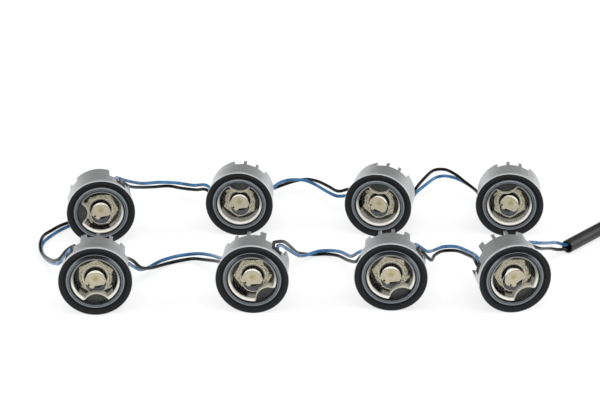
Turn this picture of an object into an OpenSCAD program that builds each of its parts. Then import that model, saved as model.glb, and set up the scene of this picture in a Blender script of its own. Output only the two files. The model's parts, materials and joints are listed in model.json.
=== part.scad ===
// A string of eight round daytime running lamps, wired in a row, with its feed lead.
// The lamps lie on their sides in two rows, as they would be set down on a bench.
// Lamp 1 is next to the lead; lamp 8 is the end of the chain.
// In a lamp's own frame +Z points out of its front, Z = 0 is the face of the front ring,
// and angle 0 is the side where the lens is cut away.

/* [Layout] */
// Lamp 1, front row right: X, Y, heading and roll
lamp_1 = [85, -42.5, 7.5, -59]; // [-180:0.5:180]
// Lamp 2, front row
lamp_2 = [34.5, -41, -4, -63]; // [-180:0.5:180]
// Lamp 3, front row
lamp_3 = [-22, -43, -3, -52]; // [-180:0.5:180]
// Lamp 4, front row left
lamp_4 = [-85.5, -44.5, 4.5, -90]; // [-180:0.5:180]
// Lamp 5, back row left
lamp_5 = [-90, 19, 8.5, 180]; // [-180:0.5:180]
// Lamp 6, back row
lamp_6 = [-29.5, 27.5, -3, 89]; // [-180:0.5:180]
// Lamp 7, back row
lamp_7 = [32, 26, -11.5, 88]; // [-180:0.5:180]
// Lamp 8, back row right
lamp_8 = [90.5, 26.5, -6, 101]; // [-180:0.5:180]

/* [Front ring] */
// How far the ring stands out past the drum
rim_overhang = 0.8; // [0.5:0.1:1.5]
// Thickness of the ring's rim
ring_t = 1.4; // [1.2:0.1:2]
// Chamfer on the rim's front edge
rim_chamfer = 0.1; // [0.05:0.05:0.3]
// Width of the slope that rises from the ring's face to its opening
slope_w = 1.1; // [0.6:0.1:1.4]
// How far the ring's face falls from its outer edge to its inner edge
face_fall = 0.8; // [0.4:0.1:0.9]
// How far the slope's inner edge stays below the ring's outer edge
slope_below = 0.3; // [0.1:0.1:0.5]
// Length of the skirt that goes into the drum
skirt_len = 3; // [2:0.1:3.4]
// Wall of the skirt
skirt_wall = 0.7; // [0.5:0.1:0.9]

/* [Seal] */
// Thickness of the gasket between ring and drum
seal_t = 0.5; // [0.3:0.1:0.8]
// Radial width of the gasket
seal_w = 0.8; // [0.5:0.1:1]

/* [Heatsink] */
// Length of a lamp from the ring's face to the rear rim
lamp_len = 17; // [15:0.1:20]
// Wall around the front bore
drum_wall = 1.2; // [1.1:0.1:1.6]
// Wall around the rear pocket
rear_wall = 1.8; // [1.4:0.1:2.4]
// Thickness of the floor that carries the board
floor_t = 2; // [1.8:0.1:2.4]
// Width of one notch in the rear rim
notch_w = 4.1; // [3:0.1:4.6]
// Depth of a notch in the rear rim
notch_depth = 3.8; // [3:0.1:4.5]
// Angle from one notch to the next
notch_pitch = 22.5; // [21:0.5:25]
// Diameter of the boss in the middle of the rear
hub_d = 8; // [6:0.1:10]
// How far the rear fins stay below the rear rim
fin_below = 1; // [0.5:0.1:2]
// Thickness of a rear fin
fin_t = 1.4; // [1:0.1:1.6]
// Width of the wire slots
slot_w = 5.1; // [4.6:0.1:5.4]
// Width of the slots behind the floor, where the wires turn away
mouth_w = 11; // [6:0.5:12]
// Wall left between a wire slot and the skirt
slot_land = 0.9; // [0.5:0.1:1]

/* [Optics] */
// Thickness of the window's edge
window_edge_t = 1; // [0.8:0.1:1.2]
// Width of the window's edge under the ring
window_ledge = 0.5; // [0.3:0.1:0.8]
// How far the window's middle stands below the ring's face
window_below = 0.1; // [0.05:0.05:0.3]
// Thickness of the window's middle
window_t = 0.5; // [0.4:0.1:0.7]
// Wall of the holder around the collimator
holder_wall = 1.9; // [1.5:0.1:2.5]
// Thickness of the collimator's rim
optic_rim_t = 0.7; // [0.5:0.1:1]
// Diameter of the dish in the collimator's face
dish_d = 10.4; // [9:0.1:12]
// Depth of the dish
dish_depth = 2.4; // [2:0.1:2.6]
// Thickness of the collimator between its dish and its well
core_t = 1.4; // [1:0.1:1.6]
// Wall of the collimator's foot around its well
foot_wall = 1.5; // [1:0.1:1.8]
// Radius of the round bite in the collimator's side
bite_r = 5.4; // [4.5:0.1:6]
// How far the bite's centre lies outside the collimator's edge
bite_out = 1.2; // [0.8:0.1:1.6]
// Thickness of the holder's shelf in the bite
shelf_t = 1.6; // [1:0.1:2]

/* [Light source] */
// Thickness of the eight-sided board
board_t = 1.6; // [1:0.1:1.8]
// Gap between the board's corners and the holder
board_gap = 0.36; // [0.2:0.02:0.5]
// Width of the emitter's square base
emitter_w = 3.4; // [2.8:0.1:4]
// Height of the emitter's base
emitter_t = 0.7; // [0.5:0.1:0.8]
// Radius of the emitter's dome
dome_r = 1.2; // [0.8:0.05:1.3]
// Gap between the emitter's corners and the well around it
well_gap = 0.3; // [0.2:0.05:0.6]
// Gap between the collimator's foot and a screw's head
foot_gap = 1.7; // [1.6:0.1:2.5]
// Gap between a screw's head and the holder
head_gap = 1.2; // [1.1:0.1:2]
// Diameter of a screw's shank
screw_d = 1.9; // [1.6:0.1:2.2]
// Diameter of a screw's head
head_d = 3; // [2.6:0.1:3.6]
// Height of a screw's head
head_h = 0.8; // [0.6:0.1:0.9]

/* [Wires] */
// Diameter of one wire
wire_d = 1.5; // [1.3:0.1:1.6]
// Distance between the two wires where they leave a lamp
wire_gap = 2.3; // [2.2:0.1:2.6]

/* [Feed lead] */
// Diameter of the round lead
lead_d = 4.5; // [4:0.1:4.8]
// Outer diameter of the sleeve over the splice
sleeve_d = 5.8; // [5.6:0.1:6.4]
// Length of the sleeve
sleeve_len = 36; // [30:1:40]
// How far the wires run inside the sleeve
sleeve_in = 6; // [4:0.5:10]
// Radius of the coil, at the middle of its turns
coil_r = 25.2; // [25:0.1:26]
// Turns in one layer of the coil
coil_turns = 3; // [2:1:3]
// Distance between neighbouring turns
coil_pitch = 4.8; // [4.8:0.1:5.2]

/* [Plug] */
// Outer diameter of the plug's collar
plug_d = 12; // [11:0.5:14]
// Length of the collar
collar_len = 12; // [10:0.5:16]
// Length of the tapered boot
boot_len = 14; // [10:0.5:18]
// Diameter of the boot where the lead goes in
boot_d = 7; // [6:0.1:8]
// Diameter of a contact pin
pin_d = 1.6; // [1.2:0.1:2]
// Diameter of a pin's root, which is set into the collar
root_d = 1.2; // [0.9:0.1:1.5]
// Distance between the two contact pins
pin_gap = 5.4; // [4.6:0.1:6]
// How far a pin stands out of the collar's end
pin_len = 7; // [5:0.5:9]
// How far a pin is set into the collar
pin_set = 5; // [4:0.5:8]
// Width of the key rib on the collar
key_w = 2.4; // [2:0.1:3]
// Height of the key rib
key_h = 1; // [0.6:0.1:1.2]

/* [Hidden] */
$fn = 96;
fit_gap = 0.1;
cut = 0.1;
count = 8;
lamps = [lamp_1, lamp_2, lamp_3, lamp_4, lamp_5, lamp_6, lamp_7, lamp_8];

// Radii of a lamp, from the emitter out to the ring
well_r = emitter_w / sqrt(2) + well_gap;
foot_r = well_r + foot_wall;
screw_reach = foot_r + foot_gap + head_d / 2;
pocket_r = screw_reach + head_d / 2 + head_gap;
optic_r = pocket_r - fit_gap;
board_r = pocket_r - board_gap;
holder_r = pocket_r + holder_wall;
skirt_in_r = holder_r + 2 * fit_gap;
skirt_r = skirt_in_r + skirt_wall;
bore_r = skirt_r + fit_gap;
drum_r = bore_r + drum_wall;
ring_r = drum_r + rim_overhang;
window_r = skirt_in_r - fit_gap;
window_boss_r = window_r - window_ledge;
ring_open_r = window_boss_r + fit_gap;
pocket_wall_r = drum_r - rear_wall;
mouth_in_r = sqrt(pow(pocket_wall_r, 2) - pow(mouth_w / 2, 2)) - cut;
hub_r = hub_d / 2;
bite_x = optic_r + bite_out;

// Levels of a lamp, from its face back to the floor's rear face
drum_top = -(ring_t + seal_t);
window_bottom = -(ring_t + window_edge_t);
optic_top = -(window_below + window_t + fit_gap);
well_top = optic_top - dish_depth - core_t;
board_top = well_top - 2 * fit_gap - dome_r - emitter_t;
floor_top = board_top - board_t;
floor_bottom = floor_top - floor_t;
skirt_bottom = -(ring_t + skirt_len);
slot_top = skirt_bottom - slot_land;
rear_depth = lamp_len + floor_bottom;
fin_h = rear_depth - fin_below;

// Angles around a lamp, from the bite in its lens
fin_group = 163;
slot_side = 64;
slot_a = fin_group - slot_side;
slot_b = fin_group + slot_side;
screw_angles = [90, -90];
hole_land = 0.4;
tip_gap = 0.2;

// Grommets fill the slots between the skirt and the floor's rear face
grommet_below = 0.5;
grommet_in_r = holder_r + fit_gap;
grommet_out_r = drum_r - grommet_below;
wire_r = (grommet_in_r + grommet_out_r) / 2;
wire_straight = 4.8;

// A lamp rests on its ring and its rear rim, so it tips back a little
tilt = atan((ring_r - drum_r) / (lamp_len - ring_t));
lift = ring_t * sin(tilt) + ring_r * cos(tilt);

// Feed lead: the sleeve lies on the floor and points away from lamp 1
lead_heading = 45;
sleeve_start = [114.5, 10, sleeve_d / 2 + 0.1];
sleeve_bore_r = lead_d / 2 + fit_gap;
wire_side = 0.55;
wire_rise = 0.6;

// Coil of the lead, in two layers on the floor
coil_half_w = (coil_turns * coil_pitch) / 2 + 0.3;
coil_h = 2 * coil_pitch;
coil_gap = 0.3;
coil_away = 24;
tail_len = 24;
plug_away = 1;
outer_turn_r = coil_r + (coil_turns - 1) * coil_pitch / 2;
coil_reach = sleeve_len + coil_away;
coil_lead_in = sqrt(pow(coil_r + coil_half_w + lead_d / 2 + coil_gap, 2) - pow(outer_turn_r, 2));
coil_x = sleeve_start.x + coil_reach * cos(lead_heading) + outer_turn_r * sin(lead_heading);
coil_y = sleeve_start.y + coil_reach * sin(lead_heading) - outer_turn_r * cos(lead_heading);
plug_x = coil_x + coil_r + coil_half_w + plug_d / 2 + plug_away;
plug_y = coil_y - tail_len - boot_len;
plug_z = plug_d / 2;
root_out = 0.3;

function per_lamp(name) = [for (i = [1:count]) str(name, "_", i)];
function per_span(name) = [for (i = [1:count - 1]) str(name, "_", i, "_", i + 1)];

// A point in a lamp's own frame, turned by the lamp's roll, tilt and heading
function rolled(p, a) = [p.x * cos(a) - p.y * sin(a), p.x * sin(a) + p.y * cos(a), p.z];
function tipped(p) = [p.x, p.y * sin(tilt) - p.z * cos(tilt), p.y * cos(tilt) + p.z * sin(tilt)];
function headed(p, a) = [p.x * cos(a) - p.y * sin(a), p.x * sin(a) + p.y * cos(a), p.z];
function lamp_point(i, p) =
    [lamps[i - 1][0], lamps[i - 1][1], lift] + headed(tipped(rolled(p, lamps[i - 1][3])), lamps[i - 1][2]);

// Where a wire leaves slot angle a of lamp i, on side +1 or -1, straight back by d
function slot_point(i, a, side, d) =
    lamp_point(i, rolled([wire_r, side * wire_gap / 2, floor_bottom - d], a));

// Where a wire lies in the sleeve, s along it, on side +1 or -1
function sleeve_point(s, side) = sleeve_start
    + s * [cos(lead_heading), sin(lead_heading), 0]
    + side * [-sin(lead_heading) * wire_side, cos(lead_heading) * wire_side, wire_rise];

// Free part of each wire between two lamps, in the order of the chain
black_routes = [
    [[70, -20.5, 13.5], [67.5, -9.5, 9.8], [65.3, -3, 7.6], [62.8, 0.1, 6.3], [59.6, -0.1, 6.2], [57.2, -3.5, 7.2],
        [54.5, -10.5, 9.2], [52.3, -19.4, 11.9]],
    [[21, -22, 12.5], [18, -12, 7.8], [14, 0.5, 3.5], [9, 6.5, 1.2], [3.5, 6.5, 1], [-0.5, 5.8, 1.6],
        [-3.8, 1.5, 4.6], [-6.3, -7, 11.5], [-9.3, -19, 20.3]],
    [[-37.5, -17, 10], [-43.2, -6.5, 5.2], [-48.5, 0, 2.3], [-54, 0.5, 1.2], [-60, -2.5, 1.2],
        [-65.5, -12, 4.3], [-69.3, -19.5, 8.3], [-72.3, -23, 13.5]],
    [[-99.3, -25.5, 19.5], [-103, -21, 13.5], [-106.8, -14.3, 8.9], [-111, -5, 5.2], [-114.5, 3.5, 3],
        [-116.3, 10, 2.8], [-116.9, 16.5, 2.7], [-116.5, 23.5, 1.9], [-114, 29.5, 1.2], [-110.5, 35, 1],
        [-105, 39.5, 1], [-97, 43, 1], [-91.5, 43.5, 1.1], [-89.3, 39.5, 1.3]],
    [[-79.8, 43.7, 16.4], [-75.5, 53, 11.5], [-70, 62, 7.5], [-64, 65.5, 6.3], [-57.5, 62, 6.8],
        [-50.5, 55, 9.3], [-45.5, 49.5, 12]],
    [[-20, 51.5, 4], [-16.5, 65.5, 3.7], [-11, 70.5, 4.3], [-4.5, 72, 5.9], [1, 72.5, 6.5], [6, 69, 7],
        [10.5, 61.8, 8], [15, 53, 9.5], [20, 49, 12.5]],
    [[46.8, 48.5, 5.5], [51, 62, 6], [55.5, 69.5, 8], [60.5, 76.5, 9.2], [66, 77, 9.5], [70.5, 71.5, 9.5],
        [74, 64.5, 9.2], [77.5, 57.5, 9], [79.3, 50.5, 9.8]],
];
blue_routes = [
    [[70, -21.5, 15.8], [67.2, -10, 12], [65, -3.5, 9.8], [62.4, -0.3, 8.5], [59.2, -0.6, 8.4], [56.6, -4.3, 9.5],
        [53.4, -12, 12.4], [50.2, -20.3, 16.6]],
    [[21.5, -20.9, 16], [19, -13.5, 10.6], [15, -1, 6.2], [10.5, 5.5, 3.4], [5.5, 6, 2.8], [0, 2, 3],
        [-3.2, -4, 6], [-7.3, -11, 12.3], [-10.2, -18, 18]],
    [[-36.5, -18.5, 12.5], [-40.2, -8.5, 8.4], [-45.8, 0.3, 4.6], [-51.5, 3.3, 2.6], [-57.5, 3, 1.6],
        [-63, -1, 1.6], [-67, -8.5, 2.8], [-70, -15.5, 5.2], [-72.5, -21.5, 10]],
    [[-100.3, -24.9, 16.3], [-103.3, -21, 11.3], [-106, -14, 7.2], [-110, -5, 3.5], [-114, 4.5, 1.1],
        [-116.2, 11.5, 1], [-116, 18.5, 1], [-113.5, 24.5, 1], [-110.3, 30, 1], [-106, 35, 1],
        [-101, 38.5, 1], [-95.8, 40.3, 1], [-92.2, 38, 1.2]],
    [[-80.8, 44.5, 18.8], [-75, 54.5, 12.8], [-68, 63, 9.4], [-60, 64, 8.6], [-52, 58, 10.2],
        [-45.5, 50.5, 13.8]],
    [[-17.5, 49.5, 6.5], [-14.5, 61.5, 7.8], [-9.5, 67, 8.3], [-4, 67.8, 8.5], [0.5, 66.5, 8.5],
        [5, 61.8, 8.5], [9.5, 55, 8.7], [14.5, 49.5, 8.7], [20, 48, 9.8]],
    [[46, 48.5, 3.5], [51.5, 62.5, 4], [57, 68, 6.3], [61.5, 72.5, 7.4], [66, 74.3, 7.4], [70.5, 72.7, 7.1],
        [74.5, 68.5, 6.8], [78, 62.5, 6.7], [80.2, 54.5, 7]],
];
black_feed_route = [[98.4, -18.5, 16.8], [105.2, -0.9, 7.8], [110.2, 6.1, 3.6]];
blue_feed_route = [[97.5, -20, 20.2], [102.4, -9, 14.6], [107.8, 0.7, 9.8], [111.8, 7.9, 5.4]];

// Stretches of the lead that aren't coiled
lead_route = [
    sleeve_point(sleeve_in, 0),
    sleeve_point(sleeve_len, 0),
    sleeve_point(coil_reach - coil_lead_in, 0)];
tail_route = [
    [plug_x - 4.4, coil_y - 0.5, plug_z + 0.9],
    [plug_x - 2.7, coil_y - 4, plug_z + 0.8],
    [plug_x - 0.8, coil_y - 10, plug_z + 0.5],
    [plug_x - 0.1, coil_y - 16, plug_z + 0.2],
    [plug_x, plug_y + boot_len + 4, plug_z],
    [plug_x, plug_y + boot_len, plug_z]];

// Smooth curve through the points of a route, with its first and last stretches straight
function blend(a, b, c, d, t) =
    0.5 * (2 * b + (c - a) * t + (2 * a - 5 * b + 4 * c - d) * t * t + (3 * b - a - 3 * c + d) * t * t * t);
function smooth(p, steps) = concat(
    [p[0]],
    [for (k = [1:1:len(p) - 3]) for (s = [0:steps - 1])
        blend(p[k - 1], p[k], p[k + 1], p[k + 2], s / steps)],
    [p[len(p) - 2], p[len(p) - 1]]);
function unit(v) = v / norm(v);
function heading(p, k) =
    unit(k == 0 ? p[1] - p[0] : k == len(p) - 1 ? p[k] - p[k - 1] : p[k + 1] - p[k - 1]);

// Tube of diameter d along the points p, with the given number of sides
module tube(p, d, sides) {
    rings = len(p);
    verts = [for (k = [0:rings - 1])
        let (t = heading(p, k), n = unit(cross(t, [0, 0, 1])), b = cross(n, t))
        for (s = [0:sides - 1])
            p[k] + d / 2 * (cos(360 * s / sides) * n + sin(360 * s / sides) * b)];
    walls = [for (k = [0:rings - 2]) for (s = [0:sides - 1])
        let (a = k * sides + s, b = k * sides + (s + 1) % sides)
        [a, b, b + sides, a + sides]];
    first = [for (s = [sides - 1:-1:0]) s];
    last = [for (s = [0:sides - 1]) (rings - 1) * sides + s];
    polyhedron(points = verts, faces = concat(walls, [first], [last]));
}

// Puts a lamp's own frame in its place
module at_lamp(i) {
    translate([lamps[i - 1][0], lamps[i - 1][1], lift])
        rotate([90 - tilt, 0, lamps[i - 1][2]])
            rotate([0, 0, lamps[i - 1][3]])
                children();
}

// A disc or tube between two levels
module disc(r, bottom, top) {
    translate([0, 0, bottom]) cylinder(r = r, h = top - bottom);
}

// Die-cast drum with a front bore, a floor, rear fins, rim notches and wire slots
module heatsink(i) {
    color("silver") at_lamp(i) difference() {
        union() {
            difference() {
                disc(drum_r, -lamp_len, drum_top);
                disc(bore_r, floor_top, drum_top + cut);
                disc(pocket_wall_r, -lamp_len - cut, floor_bottom);
            }
            disc(hub_r, floor_bottom - fin_h, floor_bottom + cut);
            for (g = [0, 180]) for (k = [-1.5:1:1.5])
                rotate([0, 0, fin_group + g + k * notch_pitch])
                    translate([0, -fin_t / 2, floor_bottom - fin_h])
                        cube([pocket_wall_r + rear_wall / 2, fin_t, fin_h + cut]);
        }
        for (g = [0, 180]) for (k = [-1:1:1])
            rotate([0, 0, fin_group + g + k * notch_pitch])
                translate([pocket_wall_r - fin_t / 2, -notch_w / 2, -lamp_len - cut])
                    cube([rear_wall + fin_t, notch_w, notch_depth + cut]);
        for (a = [slot_a, slot_b]) rotate([0, 0, a]) {
            translate([holder_r, -slot_w / 2, -lamp_len - cut])
                cube([drum_r, slot_w, lamp_len + cut + slot_top]);
            translate([mouth_in_r, -mouth_w / 2, -lamp_len - cut])
                cube([drum_r, mouth_w, rear_depth + cut]);
        }
        for (a = screw_angles) rotate([0, 0, a])
            translate([screw_reach, 0, floor_bottom + hole_land])
                cylinder(r = screw_d / 2 + fit_gap / 2, h = floor_t, $fn = 32);
    }
}

// Dark ring whose face falls to a slope around the window, with a skirt that goes into the drum
module front_ring(i) {
    color("dimgray") at_lamp(i) rotate_extrude() polygon([
        [ring_open_r, -slope_below],
        [ring_open_r + slope_w, -face_fall],
        [ring_r - rim_chamfer, 0],
        [ring_r, -rim_chamfer],
        [ring_r, -ring_t],
        [skirt_r, -ring_t],
        [skirt_r, skirt_bottom],
        [skirt_in_r, skirt_bottom],
        [skirt_in_r, -ring_t],
        [ring_open_r, -ring_t]]);
}

// Clear window, hollow from behind, with an edge that sits under the ring
module window() {
    difference() {
        union() {
            disc(window_r, window_bottom, -ring_t);
            disc(window_boss_r, -ring_t - cut, -window_below);
        }
        disc(pocket_r + fit_gap, window_bottom - cut, -window_below - window_t);
    }
}

// Round bite that the collimator's side leaves free
module bite(r, bottom, top) {
    translate([bite_x, 0, 0]) disc(r, bottom, top);
}

// Clear cone that gathers the light, with a dish in its face and a well in its foot
module collimator(i) {
    color("lightgray") at_lamp(i) difference() {
        rotate_extrude() polygon([
            [0, well_top],
            [well_r, well_top],
            [well_r, board_top],
            [foot_r, board_top],
            [optic_r, optic_top - optic_rim_t],
            [optic_r, optic_top],
            [dish_d / 2 + 0.2, optic_top],
            [dish_d / 2, optic_top - dish_depth],
            [dish_d / 4, optic_top - dish_depth * 0.75],
            [0, optic_top - dish_depth * 0.6]]);
        bite(bite_r, board_top - cut, optic_top + cut);
    }
}

// Slate holder around the collimator, with a shelf that fills the bite
module lens_holder() {
    difference() {
        disc(holder_r, floor_top, window_bottom);
        disc(pocket_r, floor_top - cut, window_bottom + cut);
    }
    intersection() {
        disc(pocket_r + cut, window_bottom - fit_gap - shelf_t, window_bottom - fit_gap);
        bite(bite_r - fit_gap, window_bottom - fit_gap - shelf_t, window_bottom - fit_gap);
    }
}

// Eight-sided board with two screw holes
module led_board(i) {
    color("cornsilk") at_lamp(i) difference() {
        translate([0, 0, floor_top]) rotate([0, 0, 22.5])
            cylinder(r = board_r, h = board_t, $fn = 8);
        for (a = screw_angles) rotate([0, 0, a]) translate([screw_reach, 0, floor_top - cut])
            cylinder(r = screw_d / 2 + fit_gap, h = board_t + 2 * cut, $fn = 32);
    }
}

// Emitter with a square base and a round dome
module led_emitter() {
    translate([-emitter_w / 2, -emitter_w / 2, board_top]) cube([emitter_w, emitter_w, emitter_t]);
    intersection() {
        translate([0, 0, board_top + emitter_t]) sphere(r = dome_r, $fn = 48);
        disc(dome_r + 1, board_top + emitter_t - cut, board_top + emitter_t + dome_r + 1);
    }
}

// Screw that holds the board to the floor
module board_screw() {
    translate([screw_reach, 0, floor_bottom + hole_land + tip_gap])
        cylinder(r = screw_d / 2, h = floor_t + board_t - hole_land - tip_gap, $fn = 32);
    translate([screw_reach, 0, board_top]) cylinder(r = head_d / 2, h = head_h, $fn = 32);
}

// Flat gasket between the ring's rim and the drum
module gasket() {
    difference() {
        disc(bore_r + seal_w + fit_gap, drum_top, -ring_t);
        disc(bore_r + fit_gap, drum_top - cut, -ring_t + cut);
    }
}

// Rubber block that closes a wire slot and guides the two wires
module wire_grommet() {
    translate([grommet_in_r, -slot_w / 2 + fit_gap, floor_bottom])
        cube([grommet_out_r - grommet_in_r, slot_w - 2 * fit_gap, slot_top - fit_gap - floor_bottom]);
}

module windows() { color("lightcyan") for (i = [1:count]) at_lamp(i) window(); }
module lens_holders() { color("slategray") for (i = [1:count]) at_lamp(i) lens_holder(); }
module led_emitters() { color("gold") for (i = [1:count]) at_lamp(i) led_emitter(); }
module gaskets() { color("black") for (i = [1:count]) at_lamp(i) gasket(); }
module board_screws() {
    color("gray") for (i = [1:count]) at_lamp(i) for (a = screw_angles) rotate([0, 0, a]) board_screw();
}
module wire_grommets() {
    color("black") for (i = [1:count]) at_lamp(i) for (a = [slot_a, slot_b]) rotate([0, 0, a]) wire_grommet();
}

// Full path of a wire from slot B of lamp i to slot A of the next lamp
function wire_path(i, route, side_b, side_a) = smooth(concat(
    [slot_point(i, slot_b, side_b, 0), slot_point(i, slot_b, side_b, wire_straight)],
    route,
    [slot_point(i + 1, slot_a, side_a, wire_straight), slot_point(i + 1, slot_a, side_a, 0)]), 2);

// Sides of the slots that the black wire takes, at its start and its end
black_sides = [[1, -1], [1, 1], [1, 1], [-1, 1], [-1, 1], [-1, -1], [1, -1]];
module black_wire(i) {
    color("black") tube(wire_path(i, black_routes[i - 1], black_sides[i - 1][0], black_sides[i - 1][1]),
        wire_d, 8);
}
module blue_wire(i) {
    color("steelblue") tube(wire_path(i, blue_routes[i - 1], -black_sides[i - 1][0], -black_sides[i - 1][1]),
        wire_d, 8);
}

// Path of a feed wire from slot A of lamp 1 into the sleeve
function feed_path(route, side_a, side_s) = smooth(concat(
    [slot_point(1, slot_a, side_a, 0), slot_point(1, slot_a, side_a, wire_straight)],
    route,
    [sleeve_point(0, side_s), sleeve_point(sleeve_in, side_s)]), 2);
module black_feed_wire() { color("black") tube(feed_path(black_feed_route, -1, -1), wire_d, 8); }
module blue_feed_wire() { color("steelblue") tube(feed_path(blue_feed_route, 1, 1), wire_d, 8); }

// Sleeve over the splice between the feed wires and the lead
module splice_sleeve() {
    color("black") translate(sleeve_start) rotate([0, 90, lead_heading]) difference() {
        cylinder(r = sleeve_d / 2, h = sleeve_len, $fn = 48);
        translate([0, 0, -cut]) cylinder(r = sleeve_bore_r, h = sleeve_len + 2 * cut, $fn = 48);
    }
}

// Straight stretches of the lead, before and after its coil
module lead_cable() {
    color("black") tube(smooth(lead_route, 2), lead_d, 10);
    color("black") tube(smooth(tail_route, 2), lead_d, 10);
}

// Outer shape of the coil
module lead_coil() {
    color("black") translate([coil_x, coil_y, 0.05]) rotate_extrude() polygon([
        [coil_r - coil_half_w + 1.5, 0],
        [coil_r + coil_half_w - 1.5, 0],
        [coil_r + coil_half_w, 1.5],
        [coil_r + coil_half_w, coil_h - 1.5],
        [coil_r + coil_half_w - 1.5, coil_h],
        [coil_r - coil_half_w + 1.5, coil_h],
        [coil_r - coil_half_w, coil_h - 1.5],
        [coil_r - coil_half_w, 1.5]]);
}

// Plug with a tapered boot and a keyed collar that holds the contact pins
module plug_body() {
    color("black") translate([plug_x, plug_y, plug_z]) rotate([-90, 0, 0]) difference() {
        union() {
            rotate_extrude() polygon([
                [0, -collar_len],
                [plug_d / 2 - 0.6, -collar_len],
                [plug_d / 2, -collar_len + 0.6],
                [plug_d / 2, 0],
                [plug_d / 2 - 1.2, 1.2],
                [boot_d / 2, boot_len],
                [0, boot_len]]);
            translate([-key_w / 2, -plug_d / 2 - key_h, -collar_len + 1])
                cube([key_w, key_h + 1, collar_len - 2]);
        }
        for (s = [-1, 1]) translate([s * pin_gap / 2, 0, -collar_len - cut])
            cylinder(r = root_d / 2 + fit_gap / 2, h = pin_set + cut, $fn = 32);
    }
}

// Two round contact pins whose thinner roots stand on the floors of their holes
module plug_pins() {
    color("goldenrod") translate([plug_x, plug_y, plug_z]) rotate([-90, 0, 0]) for (s = [-1, 1])
        translate([s * pin_gap / 2, 0, -collar_len]) {
            translate([0, 0, -pin_len]) cylinder(r = pin_d / 2, h = pin_len - root_out, $fn = 32);
            translate([0, 0, -root_out - cut]) cylinder(r = root_d / 2, h = pin_set + root_out + cut, $fn = 32);
        }
}

for (i = [1:count]) {
    heatsink(i);
    front_ring(i);
    collimator(i);
    led_board(i);
}
for (i = [1:count - 1]) {
    black_wire(i);
    blue_wire(i);
}
windows();
lens_holders();
led_emitters();
gaskets();
board_screws();
wire_grommets();
black_feed_wire();
blue_feed_wire();
splice_sleeve();
lead_cable();
lead_coil();
plug_body();
plug_pins();
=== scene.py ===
"""A string of eight round daytime running lamps with its feed lead, lying on a white studio floor."""

import json
import math

import bpy
from mathutils import Matrix, Vector

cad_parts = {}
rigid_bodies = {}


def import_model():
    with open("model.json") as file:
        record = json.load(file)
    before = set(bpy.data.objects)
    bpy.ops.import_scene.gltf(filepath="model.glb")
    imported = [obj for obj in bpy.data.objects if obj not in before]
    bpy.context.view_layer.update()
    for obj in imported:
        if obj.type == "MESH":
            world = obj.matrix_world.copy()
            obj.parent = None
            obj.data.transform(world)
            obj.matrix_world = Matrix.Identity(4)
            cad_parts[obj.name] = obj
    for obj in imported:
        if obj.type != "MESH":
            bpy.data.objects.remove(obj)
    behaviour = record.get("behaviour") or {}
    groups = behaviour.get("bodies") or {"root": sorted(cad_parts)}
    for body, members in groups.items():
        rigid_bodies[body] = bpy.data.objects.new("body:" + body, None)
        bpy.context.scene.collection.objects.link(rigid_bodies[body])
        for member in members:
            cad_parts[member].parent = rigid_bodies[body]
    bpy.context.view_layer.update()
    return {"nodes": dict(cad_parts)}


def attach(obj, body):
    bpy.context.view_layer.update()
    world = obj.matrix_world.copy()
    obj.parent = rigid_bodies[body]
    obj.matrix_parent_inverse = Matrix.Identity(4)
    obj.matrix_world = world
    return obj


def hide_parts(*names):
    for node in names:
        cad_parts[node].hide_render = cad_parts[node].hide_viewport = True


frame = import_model()
nodes = frame["nodes"]

# Lengths are in millimetres and angles in degrees, unless a comment says otherwise
MM = 0.001

# Camera, at the photograph's place and angle
CAMERA_PLACE = Vector((-2.5, -636.66, 336.21))
CAMERA_TARGET = Vector((-2.5, 63.5, 0))
LENS, SENSOR_W = 99.6, 36
NEAREST, FARTHEST = 20, 20000

camera_data = bpy.data.cameras.new("camera")
camera_data.sensor_width, camera_data.lens = SENSOR_W, LENS
camera_data.clip_start, camera_data.clip_end = NEAREST * MM, FARTHEST * MM
camera = bpy.data.objects.new("camera", camera_data)
bpy.context.scene.collection.objects.link(camera)
camera.location = CAMERA_PLACE * MM
camera.rotation_euler = (CAMERA_TARGET * MM - camera.location).to_track_quat("-Z", "Y").to_euler()
bpy.context.scene.camera = camera

# Sizes and places that the scene shares with the solids.
# Each lamp has its place on the floor (x and y), its heading, and its roll about its own axis.
LAMPS = [
    (85, -42.5, 7.5, -59),
    (34.5, -41, -4, -63),
    (-22, -43, -3, -52),
    (-85.5, -44.5, 4.5, -90),
    (-90, 19, 8.5, 180),
    (-29.5, 27.5, -3, 89),
    (32, 26, -11.5, 88),
    (90.5, 26.5, -6, 101),
]
LAMP_NUMBERS = range(1, len(LAMPS) + 1)
RING_R, RING_T = 15.0, 1.4
DRUM_R, LAMP_LEN = 14.2, 17.0
DRUM_FLOOR_REAR = -10.2
# Angles of a lamp's wire slots, the one towards the lead and the one towards the next lamp
LEAD_SLOT, NEXT_SLOT = 99, 227
# Radius at which the wires leave a lamp, the distance between them, and their straight stretch there
EXIT_R, WIRE_GAP, WIRE_STRAIGHT = 12.9, 2.3, 4.8
WIRE_D, LEAD_D = 1.5, 4.5
SLEEVE_START, SLEEVE_LEN, SLEEVE_HEADING = Vector((114.5, 10, 3.0)), 36, 45
# How far the wires run into the sleeve, and how far each stands off its axis there, across and up
SLEEVE_IN, WIRE_ASIDE, WIRE_ABOVE = 6, 0.55, 0.6
# A lamp lies on its ring and the rear edge of its drum, so it tips back by TILT
TILT = math.degrees(math.atan((RING_R - DRUM_R) / (LAMP_LEN - RING_T)))
LIFT = RING_T * math.sin(math.radians(TILT)) + RING_R * math.cos(math.radians(TILT))

# Sizes of what the lens shows, in a lamp's own frame
OPTIC_R, OPTIC_TOP, OPTIC_FOOT = 10.0, -0.72, -6.58
BITE_X, BITE_R, STRIP_T = 11.2, 5.4, 0.3
WELL_R, BOARD_TOP = 4.65, -4.45
# Gap between pieces that fit together, and what a turned piece leaves open at its axis
FIT, AXIS_GAP = 0.02, 0.02
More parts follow.
